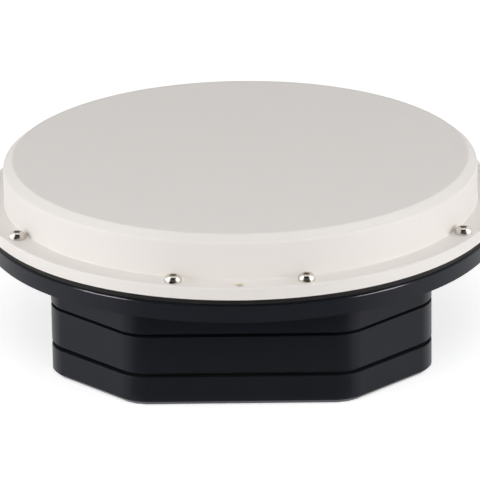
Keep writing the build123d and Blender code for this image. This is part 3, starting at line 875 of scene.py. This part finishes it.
# %% Upper frame
upper_low, upper_high = levels("upper_frame")
socket_z, socket_xs, socket_hole_r = (upper_low + upper_high) / 2, (-25.0, 25.0), 8.1
upper = octagon_block("upper_frame_ring", upper_low, upper_high)
open_through(upper, upper_low, upper_high, wall)
for height in (upper_low, upper_high):
    soften_level(upper, height, edge_break)
work(upper, bars(bolt_places, upper_low, upper_high, boss_r), "UNION")
work(upper, bars(bolt_places, upper_low - 1, upper_high + 1, bolt_hole_r)
     + [rear_bar(x, socket_z, socket_hole_r, wall + 1) for x in socket_xs])
finish_piece(upper, "black_anodised", "upper_frame")

# %% [markdown]
# The middle frame is a tray turned upside down: its web of 4 mm is at the top and stiffens the
# housing. In the rear it has a blind hole for the earth stud and a through hole for the vent plug.

# %% Middle frame
middle_low, middle_high = levels("middle_frame")
web_t, earth_x = 4.0, -45.0
earth_hole_r, earth_hole_depth, vent_hole_r = 4.05, 8.0, 3.05
service_z = (middle_low + middle_high - web_t) / 2
middle = octagon_block("middle_frame_ring", middle_low, middle_high)
hollow(middle, middle_low, -1, middle_high - middle_low - web_t)
for height in (middle_low, middle_high):
    soften_level(middle, height, edge_break)
work(middle, bars(bolt_places, middle_low, middle_high, boss_r), "UNION")
work(middle, bars(bolt_places, middle_low - 1, middle_high + 1, bolt_hole_r)
     + [rear_bar(earth_x, service_z, earth_hole_r, earth_hole_depth),
        rear_bar(0, service_z, vent_hole_r, wall + 1)])
finish_piece(middle, "black_anodised", "middle_frame")

# %% [markdown]
# The bottom cover is a tray with the foot. The foot has a wider bevel of 3 mm, which shows as a
# bright line: it reflects the table, and its colour carries a painted highlight as well. That
# bevel's own lower edge is rounded. From below come the sunk holes of the four bolts and the holes
# of the four threaded inserts.

# %% Bottom cover
bottom_high = levels("bottom_cover")[1]
floor_t, foot_bevel, bolt_sink, bolt_sink_r = 6.0, 3.0, 9.0, 6.8
insert_depth, insert_hole_r, insert_boss_r, insert_boss_top = 14.0, 5.55, 11.0, 17.0
insert_places = [(sx * 80.0, sy * 60.0) for sx in (-1, 1) for sy in (-1, 1)]
bottom = octagon_block("bottom_cover_tray", 0, bottom_high)
hollow(bottom, bottom_high, 1, bottom_high - floor_t)
soften_level(bottom, 0, foot_bevel, 1)
soften_level(bottom, 0, milled_r, 3)
soften_level(bottom, bottom_high, edge_break)
work(bottom, bars(bolt_places, floor_t - 1, bottom_high, boss_r)
     + bars(insert_places, floor_t - 1, insert_boss_top, insert_boss_r), "UNION")
work(bottom, bars(bolt_places, -1, bottom_high + 1, bolt_hole_r)
     + bars(bolt_places, -1, bolt_sink, bolt_sink_r)
     + bars(insert_places, -1, insert_depth, insert_hole_r))
finish_piece(bottom, "black_anodised", "bottom_cover")

# %% [markdown]
# ## Seals between the layers
# Each seal is a flat rubber frame. It lies back from the housing faces, so a dark groove runs
# round between the layers, and its edge is round, because it is squeezed.

# %% Seals
groove_depth, seal_round = 4.5, 0.8
for node in ("lower_seal", "upper_seal"):
    low, high = levels(node)
    seal = octagon_block(f"{node}_frame", low, high, groove_depth)
    open_through(seal, low, high, wall - groove_depth)
    for height in (low, high):
        soften_level(seal, height, seal_round, 3, inset=groove_depth)
    finish_piece(seal, "seal_rubber", node)

# %% [markdown]
# ## Underside
# Bolts, earth stud and vent plug all have a hexagon, for a key or a spanner. It could be drawn by
# its corners. A cylinder with six sides is the same thing, and takes its size across the flats.

# %% Hexagons
def hexagon(name, across, low, high, soft=0.4):
    """Hexagonal bar between two levels, with its edges broken."""
    take()
    bpy.ops.mesh.primitive_cylinder_add(
        vertices=6, radius=across / sqrt(3) * MM, depth=(high - low) * MM,
        location=(0, 0, (low + high) / 2 * MM))
    piece = settle(name)
    if soft:
        edit(piece)
        bpy.ops.mesh.select_all(action="SELECT")
        bevel(soft, 2)
        bpy.ops.object.mode_set(mode="OBJECT")
    return piece


# %% [markdown]
# Four long bolts clamp the layers. Their heads sink into the foot. The bolt is turned, head down,
# and a hexagonal bar cuts the socket for the key. Each copy is turned a little further.

# %% Housing bolts
bolt_head_r, bolt_head_h, bolt_head_break = 6.5, 8.0, 0.6
bolt_r, bolt_tip_break, key_across, key_depth = 4.0, 0.8, 6.0, 4.0
head_low, bolt_top = bolt_sink - bolt_head_h, levels("housing_bolts")[1]
pattern = turned("bolt_pattern", [
    (bolt_head_r - bolt_head_break, head_low), (bolt_head_r, head_low + bolt_head_break),
    (bolt_head_r, bolt_sink), (bolt_r, bolt_sink), (bolt_r, bolt_top - bolt_tip_break),
    (bolt_r - bolt_tip_break, bolt_top)], bolt_sides)
work(pattern, [hexagon("key", key_across, head_low - 1, head_low + key_depth, 0)])
for k, (x, y) in enumerate(bolt_places):
    bolt = set_down(pattern, f"housing_bolt_{k + 1}", (x, y, 0), (0, 0, 25 * k))
    finish_piece(bolt, "stainless", "housing_bolts")
bpy.data.objects.remove(pattern)

# %% [markdown]
# Four threaded inserts take the screws of the mast plate. An insert is a turned ring, and a row of
# ridges on its inner wall stands for the thread: a real helix would add many faces and look the
# same.

# %% Mount inserts
insert_r, thread_root, thread_crest, thread_pitch = 5.5, 4.0, 4.4, 1.25


def ridges(root, crest, start, end, pitch):
    """Outline of a thread that is drawn as separate ridges."""
    step = pitch if end > start else -pitch
    count = int(abs(end - start) / pitch)
    return [(radius, start + step * (k + share)) for k in range(count)
            for radius, share in ((root, 0.1), (crest, 0.4), (crest, 0.6), (root, 0.9))]


pattern = turned("insert_pattern", [
    (thread_root + 0.6, 0.0), (insert_r, 0.0), (insert_r, insert_depth),
    (thread_root, insert_depth)]
    + ridges(thread_root, thread_crest, insert_depth - 0.4, 0.6, thread_pitch),
    bolt_sides, ring=True)
for k, (x, y) in enumerate(insert_places):
    insert = set_down(pattern, f"mount_insert_{k + 1}", (x, y, 0))
    finish_piece(insert, "stainless", "mount_inserts")
bpy.data.objects.remove(pattern)

# %% [markdown]
# ## Rear sockets
# A power and a data socket stand on the rear wall, each on a rubber washer. The shell is turned
# brass: a tail through the wall, a flange, and a threaded sleeve for the ring of the plug. It is
# turned upright at the origin, and each copy is then tipped back and moved to the wall. A small key
# inside the cup lets the plug in one way only.

# %% Socket shells
washer_t, flange_out, cup_floor, sleeve_out, tail_in = 1.5, 5.5, 9.5, 17.5, wall + 7.0
cup_r, tail_r, flange_r, sleeve_r, sleeve_crest = 7.2, 8.0, 12.0, 8.4, 9.0
key_size, key_out, key_below, washer_round = (1.6, 1.4, 6.5), 6.7, 4.2, 0.35
shell = turned("shell_pattern", [
    (cup_r, -tail_in), (tail_r, -tail_in), (tail_r, washer_t), (flange_r - 0.4, washer_t),
    (flange_r, washer_t + 0.4), (flange_r, flange_out - 0.5), (flange_r - 0.5, flange_out),
    (sleeve_r, flange_out)]
    + ridges(sleeve_r, sleeve_crest, flange_out + 1.2, sleeve_out - 0.4, thread_pitch)
    + [(sleeve_r, sleeve_out - 0.3), (sleeve_r - 0.3, sleeve_out), (cup_r, sleeve_out)],
    socket_sides, ring=True)
take()
bpy.ops.mesh.primitive_cube_add(size=1, scale=[side * MM for side in key_size],
                                location=(0, -key_out * MM, (sleeve_out - key_below) * MM))
work(shell, [bpy.context.object], "UNION")
washer = turned("washer_pattern", [
    (socket_hole_r, 0), (flange_r, 0), (flange_r, washer_t), (socket_hole_r, washer_t)],
    socket_sides, ring=True)
soften_rings(washer, [(flange_r, 0), (flange_r, washer_t)], washer_round)
print(f"one shell: {len(shell.data.polygons)} faces")

# %% [markdown]
# The insert of each socket is black resin with a raised rim, and its contacts are gold-plated pins
# with round tips: three thick ones for power, eight thin ones for data. Each group of pins is one
# piece, joined from copies of one pin.

# %% Inserts and contacts
insulator_r, rim_inner_r, pin_out = 7.15, 6.0, 5.0
insulator = turned("insulator_pattern", [
    (insulator_r, -tail_in), (insulator_r, cup_floor - 0.3), (insulator_r - 0.3, cup_floor),
    (rim_inner_r, cup_floor), (rim_inner_r - 0.2, cup_floor - 0.4)], socket_sides)


def joined(name, pieces):
    """Make one object of several."""
    take(*pieces)
    if len(pieces) > 1:
        bpy.ops.object.join()
    pieces[0].name = name
    return pieces[0]


def contacts(name, radius, places):
    """Pins that stand out of the insert, as one piece."""
    tip = cup_floor + pin_out
    pin = turned("pin_pattern", [
        (radius, cup_floor - 1), (radius, tip - 0.6 * radius), (0.85 * radius, tip - 0.25 * radius),
        (0.4 * radius, tip)], pin_sides)
    pins = [set_down(pin, f"{name}_{k}", (x, y, 0)) for k, (x, y) in enumerate(places)]
    bpy.data.objects.remove(pin)
    return joined(name, pins)


power_places = on_circle(3.2, [90 + 360 * k / 3 for k in range(3)])
data_places = on_circle(4.0, [90 + 360 * k / 7 for k in range(7)]) + [(0, 0)]
sockets = {"power": contacts("power_pattern", 1.1, power_places),
           "data": contacts("data_pattern", 0.6, data_places)}
print("contacts:", {use: len(pins.data.polygons) for use, pins in sockets.items()}, "faces")

# %% [markdown]
# Each socket is now set down from its four parts: shell, washer, insert and contacts.

# %% Two sockets
tip_back = (-90, 0, 0)
for (use, pins), x in zip(sockets.items(), socket_xs):
    for pattern, part, slot, nodes in (
            (shell, "shell", "nickel_brass", [f"{use}_socket_shell"]),
            (washer, "washer", "seal_rubber", ["socket_seals"]),
            (insulator, "insert", "chip_resin", [f"{use}_socket_insulator"]),
            (pins, "contacts", "gold_contact", [])):
        piece = set_down(pattern, f"{use}_{part}", (x, rear_y, socket_z), tip_back)
        finish_piece(piece, slot, *nodes)
for pattern in (shell, washer, insulator, *sockets.values()):
    bpy.data.objects.remove(pattern)

# %% [markdown]
# ## Earth stud and vent plug
# The earth stud is a hexagonal collar with a thread on each side: the root sits in the wall, and
# the lug of the earth cable goes on the stud.

# %% Earth stud
collar_t, collar_across, root_l, root_r = 5.0, 13.0, 8.0, 4.0
stud_l, stud_root, stud_crest, stud_pitch = 12.0, 2.6, 3.0, 1.0
stud_end = collar_t + stud_l
stud = turned("stud_pattern", [
    (root_r - 0.4, -root_l), (root_r, 0.5 - root_l), (root_r, collar_t - 0.5),
    (stud_root, collar_t - 0.4)]
    + ridges(stud_root, stud_crest, collar_t, stud_end - 0.6, stud_pitch)
    + [(stud_root, stud_end - 0.4), (stud_root - 0.4, stud_end)], stud_sides)
stud = joined("stud_pattern", [stud, hexagon("collar", collar_across, 0, collar_t)])
earth_stud = set_down(stud, "earth_stud_piece", (earth_x, rear_y, service_z), tip_back)
finish_piece(earth_stud, "stainless", "earth_stud")
bpy.data.objects.remove(stud)

# %% [markdown]
# The vent plug lets the housing breathe through a membrane; the cross slots in its cap keep water
# jets off it. The cap is turned, and two long boxes cut the cross.

# %% Vent plug
plug_h, plug_across, plug_r, cap_h, cap_r, cap_soft = 4.0, 17.0, 3.0, 3.0, 7.0, 0.8
slot_w, slot_l = 2.0, 2 * cap_r + 2
cap = turned("cap_pattern", [
    (plug_r, -wall), (plug_r, plug_h - 0.5), (cap_r, plug_h - 0.4),
    (cap_r, plug_h + cap_h - cap_soft), (cap_r - cap_soft, plug_h + cap_h)], small_sides)
slots = []
for width, depth in ((slot_l, slot_w), (slot_w, slot_l)):
    take()
    bpy.ops.mesh.primitive_cube_add(size=1, scale=(width * MM, depth * MM, cap_h * MM),
                                    location=(0, 0, (plug_h + cap_h) * MM))
    slots.append(bpy.context.object)
work(cap, slots)
plug = joined("plug_pattern", [cap, hexagon("plug_hexagon", plug_across, 0, plug_h)])
vent_plug = set_down(plug, "vent_plug_piece", (0, rear_y, service_z), tip_back)
finish_piece(vent_plug, "chip_resin", "vent_plug")
bpy.data.objects.remove(plug)

# %% [markdown]
# ## Stage and light
# A white table and a white room. Camera and mirror rays see the room as plain white, at strength 1;
# the light that falls on the object is weaker than that. From here on, sizes and places are in
# metres, since the stage is as large as a room.

# %% Room
room_level = 0.40
world = bpy.data.worlds.new("white_room")
bpy.context.scene.world = world
world.use_nodes = True
background = world.node_tree.nodes["Background"].inputs
background["Color"].default_value = (1, 1, 1, 1)
path = add_node(world, "ShaderNodeLightPath").outputs
seen = add_node(world, "ShaderNodeMath", {
    0: path["Is Camera Ray"], 1: path["Is Glossy Ray"]}, operation="MAXIMUM")
seen = add_node(world, "ShaderNodeMath", {
    0: seen.outputs[0], 1: path["Is Transmission Ray"]}, operation="MAXIMUM")
add_node(world, "ShaderNodeMapRange", {
    "Value": seen.outputs[0], "To Min": room_level, "To Max": 1.0},
    {"Result": background["Strength"]})
print("room lights the object at", room_level)

# %% [markdown]
# The table is dull white, and glows a little for camera and mirror rays, so it runs into the white
# of the room but keeps the object's shadow. It lies a fifth of a millimetre under the foot, because
# two faces at one height flicker. It is one-sided: a look from below passes through it, and so does
# light that has just left the foot, so the underside can be inspected as well.

# %% Table
table_gap, table_side, table_glow = 0.2 * MM, 12, 0.6
take()
bpy.ops.mesh.primitive_plane_add(size=table_side, location=(0, 0, -table_gap))
table = bpy.context.object
table.name = "table"
cloth, surface = plain_finish("white_table", {
    "Base Color": (0.86, 0.86, 0.86, 1), "Roughness": 1.0, "Specular IOR Level": 0.0,
    "Emission Color": (1, 1, 1, 1)})
table.data.materials.append(cloth)
path = add_node(cloth, "ShaderNodeLightPath").outputs
seen = add_node(cloth, "ShaderNodeMath", {
    0: path["Is Camera Ray"], 1: path["Is Glossy Ray"]}, operation="MAXIMUM")
add_node(cloth, "ShaderNodeMath", {0: seen.outputs[0], 1: table_glow},
         {0: surface["Emission Strength"]}, operation="MULTIPLY")
below = add_node(cloth, "ShaderNodeNewGeometry").outputs["Backfacing"]
close = add_node(cloth, "ShaderNodeMath", {
    0: path["Ray Length"], 1: 5 * table_gap}, operation="LESS_THAN")
through = add_node(cloth, "ShaderNodeMath", {0: below, 1: close.outputs[0]}, operation="MAXIMUM")
clear = add_node(cloth, "ShaderNodeBsdfTransparent").outputs["BSDF"]
solid = cloth.node_tree.nodes["Principled BSDF"].outputs["BSDF"]
shown = cloth.node_tree.nodes["Material Output"].inputs["Surface"]
add_node(cloth, "ShaderNodeMixShader", {0: through.outputs[0], 1: solid, 2: clear},
         {"Shader": shown})
print("table:", len(cloth.node_tree.nodes), "nodes")

# %% [markdown]
# A lamp is placed by two angles, in degrees, and a distance, and turned to face the object. Its
# power is in watts.

# %% A lamp that faces the object
def point(azimuth, elevation, distance):
    """Point round the object: azimuth 0 is in front, towards -Y, and positive to the right."""
    azimuth, elevation = radians(azimuth), radians(elevation)
    level = cos(elevation)
    return distance * Vector((sin(azimuth) * level, -cos(azimuth) * level, sin(elevation)))


def area_lamp(name, azimuth, elevation, distance, size, power, roll=0):
    """Rectangular lamp that faces the object, rolled about its line of sight."""
    place = point(azimuth, elevation, distance)
    bpy.ops.object.light_add(type="AREA", location=place)
    lamp = bpy.context.object
    lamp.name = name
    lamp.data.shape = "RECTANGLE"
    lamp.data.size, lamp.data.size_y = size
    lamp.data.energy = power
    rolled = Matrix.Rotation(radians(roll), 4, "Z").to_quaternion()
    lamp.rotation_euler = (place.to_track_quat("Z", "Y") @ rolled).to_euler()
    print(f"{name}: {power} W")
    return lamp


# %% [markdown]
# Low, wide lamps stand at the left and the right, so the upright wall is brightest at its sides,
# and the flat top, which only sees the ceiling, is a tone darker. Some lamps light only the dull
# surfaces (softboxes, front fill), and some show only in mirror reflections: the glints on the
# black sides, and two edge strips that the milled chamfer of the disc throws back as a bright line.

# %% Lamps
side_height, edge_height, fill_height = 16, 52, 45
lamp_distance, edge_distance, wall_distance = 1.9, 2.0, 2.2
softbox_size, glint_size, edge_size = (0.5, 0.9), (0.45, 0.6), (0.55, 0.2)
wall_size, fill_size = (2.2, 1.0), (1.2, 1.2)
for name, azimuth, power, glint_power in (("left", -67, 5.0, 16.0), ("right", 67, 4.0, 17.0)):
    softbox = area_lamp(f"softbox_{name}", azimuth, side_height, lamp_distance, softbox_size, power)
    softbox.visible_glossy = False
    glint = area_lamp(f"glint_{name}", azimuth, side_height, lamp_distance, glint_size, glint_power)
    glint.visible_diffuse = False
for name, azimuth, roll, power in (("left", -80.5, 38, 13.5), ("right", 82.3, -38, 13.5)):
    edge = area_lamp(f"edge_{name}", azimuth, edge_height, edge_distance, edge_size, power, roll)
    edge.visible_diffuse = False
for name, azimuth, power in (("left", -80, 12.6), ("right", 80, 13.4)):
    area_lamp(f"bounce_wall_{name}", azimuth, side_height, wall_distance, wall_size, power)
front_fill = area_lamp("front_fill", 0, fill_height, lamp_distance, fill_size, 8.8)
front_fill.visible_glossy = False

# %% [markdown]
# Black metal looks black, and steel gets its dark band, only where they mirror something dark. In
# a studio, black cards lie on the table in front, one hangs overhead, and a slate one stands behind
# the camera. Here mirror rays alone see them, so they cast no shadow and never show themselves.

# %% Dark cards
def dark_card(name, paper, location, rotation, width, depth, near_width=None):
    """Card that only mirror rays see. It may be narrower at the edge next to the object."""
    take()
    bpy.ops.mesh.primitive_plane_add(size=1, location=location, rotation=rotation)
    card = bpy.context.object
    card.name = name
    edit(card)
    bpy.ops.mesh.select_all(action="SELECT")
    bpy.ops.transform.resize(value=(width, depth, depth), center_override=location)
    if near_width:
        pick("VERT", lambda vertex: vertex.co.y > 0)
        bpy.ops.transform.resize(value=(near_width / width, 1, 1), center_override=location)
    bpy.ops.object.mode_set(mode="OBJECT")
    card.data.materials.append(paper)
    card.visible_camera = card.visible_diffuse = False
    card.visible_shadow = card.visible_transmission = False
    print(f"{name}: {width} x {depth} m")


def card_paper(name, grey):
    """Dull paper that throws back the given share of the light."""
    return plain_finish(name, {"Base Color": (grey, grey, grey, 1), "Specular IOR Level": 0.0})[0]


flat, above_table = (0, 0, 0), 0.0005
velvet, slate = card_paper("black_velvet", 0.01), card_paper("slate_card", 0.14)
dark_card("card_on_table", velvet, (0, -0.40, above_table), flat, 1.25, 0.52, 0.19)
dark_card("card_far_table", velvet, (0, -1.64, above_table), flat, 3.0, 1.96)
dark_card("card_behind_camera", slate, (0, -2.6, 1.2), (radians(90), 0, 0), 4.2, 2.4)
dark_card("card_overhead", velvet, (0, -1.3, 2.4), flat, 3.0, 2.6)

# %% [markdown]
# ## Camera
# A long lens from far away, a little above the rim: the ellipses stay true and the sides hardly
# converge.

# %% Camera
camera_azimuth, camera_elevation, camera_distance, camera_roll = 0.483, 20.541, 3.6724, -0.805
camera_lens, camera_sensor, camera_reach = 389.93, 36, 30
aim = Vector((-0.000865, 0, 0.071615))
back = point(camera_azimuth, camera_elevation, 1)
bpy.ops.object.camera_add(location=aim + camera_distance * back)
camera = bpy.context.object
camera.data.sensor_width = camera_sensor
camera.data.lens = camera_lens
camera.data.clip_end = camera_reach
camera.rotation_mode = "QUATERNION"
rolled = Matrix.Rotation(radians(camera_roll), 4, "Z").to_quaternion()
camera.rotation_quaternion = back.to_track_quat("Z", "Y") @ rolled
bpy.context.scene.camera = camera
bpy.context.scene.view_settings.view_transform = "Standard"
print("camera at", [round(c, 3) for c in camera.location], "m")

# %% [markdown]
